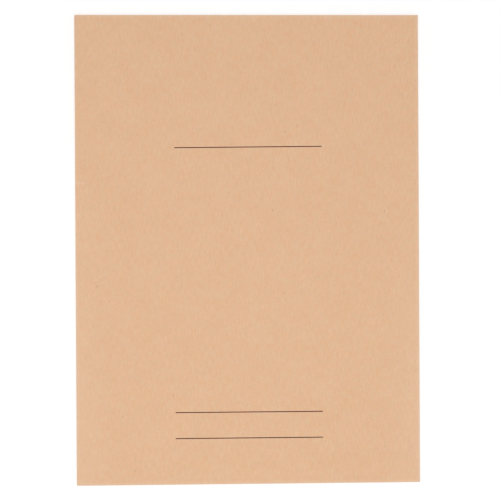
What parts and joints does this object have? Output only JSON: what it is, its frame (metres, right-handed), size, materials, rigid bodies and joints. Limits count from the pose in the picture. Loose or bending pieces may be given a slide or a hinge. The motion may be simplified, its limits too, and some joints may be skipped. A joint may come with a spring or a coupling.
{
  "type": "accounting ledger",
  "caption": "Thin stapled accounting ledger: a buff card cover folded round nested ruled sheets, whose cover and leaves open flat about the fold.",
  "frame": {"origin": "on the underside of the back cover, below the middle of the closed ledger", "axes": "+X from the fold to the fore-edge, +Y from tail to head, +Z out of the front cover"},
  "size_m": [0.22, 0.3, 0.004],
  "materials": {
    "buff_card": "uncoated matt card",
    "ledger_paper": "uncoated writing paper, ruled",
    "zinc_wire": "zinc-coated drawn wire"
  },
  "bodies": {
    "back_cover": {"back_cover": "buff_card"},
    "leaf_20": {"leaf_20": "ledger_paper"},
    "leaf_19": {"leaf_19": "ledger_paper"},
    "leaf_18": {"leaf_18": "ledger_paper"},
    "leaf_17": {"leaf_17": "ledger_paper"},
    "leaf_16": {"leaf_16": "ledger_paper"},
    "leaf_15": {"leaf_15": "ledger_paper"},
    "leaf_14": {"leaf_14": "ledger_paper"},
    "leaf_13": {"leaf_13": "ledger_paper"},
    "leaf_12": {"leaf_12": "ledger_paper"},
    "leaf_11": {"leaf_11": "ledger_paper", "upper_staple": "zinc_wire", "lower_staple": "zinc_wire"},
    "leaf_10": {"leaf_10": "ledger_paper"},
    "leaf_09": {"leaf_09": "ledger_paper"},
    "leaf_08": {"leaf_08": "ledger_paper"},
    "leaf_07": {"leaf_07": "ledger_paper"},
    "leaf_06": {"leaf_06": "ledger_paper"},
    "leaf_05": {"leaf_05": "ledger_paper"},
    "leaf_04": {"leaf_04": "ledger_paper"},
    "leaf_03": {"leaf_03": "ledger_paper"},
    "leaf_02": {"leaf_02": "ledger_paper"},
    "leaf_01": {"leaf_01": "ledger_paper"},
    "front_cover": {"front_cover": "buff_card"}
  },
  "joints": [
    {"name": "leaf_20_turn", "type": "hinge", "parent": "back_cover", "child": "leaf_20", "pos_m": [-0.11, 0, 0.00198], "axis": [0, -1, 0], "range_deg": [0, 180]},
    {"name": "leaf_19_turn", "type": "hinge", "parent": "leaf_20", "child": "leaf_19", "pos_m": [-0.11, 0, 0.00198], "axis": [0, -1, 0], "range_deg": [0, 180]},
    {"name": "leaf_18_turn", "type": "hinge", "parent": "leaf_19", "child": "leaf_18", "pos_m": [-0.11, 0, 0.00198], "axis": [0, -1, 0], "range_deg": [0, 180]},
    {"name": "leaf_17_turn", "type": "hinge", "parent": "leaf_18", "child": "leaf_17", "pos_m": [-0.11, 0, 0.00198], "axis": [0, -1, 0], "range_deg": [0, 180]},
    {"name": "leaf_16_turn", "type": "hinge", "parent": "leaf_17", "child": "leaf_16", "pos_m": [-0.11, 0, 0.00198], "axis": [0, -1, 0], "range_deg": [0, 180]},
    {"name": "leaf_15_turn", "type": "hinge", "parent": "leaf_16", "child": "leaf_15", "pos_m": [-0.11, 0, 0.00198], "axis": [0, -1, 0], "range_deg": [0, 180]},
    {"name": "leaf_14_turn", "type": "hinge", "parent": "leaf_15", "child": "leaf_14", "pos_m": [-0.11, 0, 0.00198], "axis": [0, -1, 0], "range_deg": [0, 180]},
    {"name": "leaf_13_turn", "type": "hinge", "parent": "leaf_14", "child": "leaf_13", "pos_m": [-0.11, 0, 0.00198], "axis": [0, -1, 0], "range_deg": [0, 180]},
    {"name": "leaf_12_turn", "type": "hinge", "parent": "leaf_13", "child": "leaf_12", "pos_m": [-0.11, 0, 0.00198], "axis": [0, -1, 0], "range_deg": [0, 180]},
    {"name": "leaf_11_turn", "type": "hinge", "parent": "leaf_12", "child": "leaf_11", "pos_m": [-0.11, 0, 0.00198], "axis": [0, -1, 0], "range_deg": [0, 180]},
    {"name": "centre_spread", "type": "hinge", "parent": "leaf_11", "child": "leaf_10", "pos_m": [-0.11, 0, 0.00198], "axis": [0, -1, 0], "range_deg": [0, 180]},
    {"name": "leaf_09_turn", "type": "hinge", "parent": "leaf_10", "child": "leaf_09", "pos_m": [-0.11, 0, 0.00198], "axis": [0, -1, 0], "range_deg": [0, 180]},
    {"name": "leaf_08_turn", "type": "hinge", "parent": "leaf_09", "child": "leaf_08", "pos_m": [-0.11, 0, 0.00198], "axis": [0, -1, 0], "range_deg": [0, 180]},
    {"name": "leaf_07_turn", "type": "hinge", "parent": "leaf_08", "child": "leaf_07", "pos_m": [-0.11, 0, 0.00198], "axis": [0, -1, 0], "range_deg": [0, 180]},
    {"name": "leaf_06_turn", "type": "hinge", "parent": "leaf_07", "child": "leaf_06", "pos_m": [-0.11, 0, 0.00198], "axis": [0, -1, 0], "range_deg": [0, 180]},
    {"name": "leaf_05_turn", "type": "hinge", "parent": "leaf_06", "child": "leaf_05", "pos_m": [-0.11, 0, 0.00198], "axis": [0, -1, 0], "range_deg": [0, 180]},
    {"name": "leaf_04_turn", "type": "hinge", "parent": "leaf_05", "child": "leaf_04", "pos_m": [-0.11, 0, 0.00198], "axis": [0, -1, 0], "range_deg": [0, 180]},
    {"name": "leaf_03_turn", "type": "hinge", "parent": "leaf_04", "child": "leaf_03", "pos_m": [-0.11, 0, 0.00198], "axis": [0, -1, 0], "range_deg": [0, 180]},
    {"name": "leaf_02_turn", "type": "hinge", "parent": "leaf_03", "child": "leaf_02", "pos_m": [-0.11, 0, 0.00198], "axis": [0, -1, 0], "range_deg": [0, 180]},
    {"name": "leaf_01_turn", "type": "hinge", "parent": "leaf_02", "child": "leaf_01", "pos_m": [-0.11, 0, 0.00198], "axis": [0, -1, 0], "range_deg": [0, 180]},
    {"name": "cover_opening", "type": "hinge", "parent": "leaf_01", "child": "front_cover", "pos_m": [-0.11, 0, 0.00198], "axis": [0, -1, 0], "range_deg": [0, 180]}
  ]
}
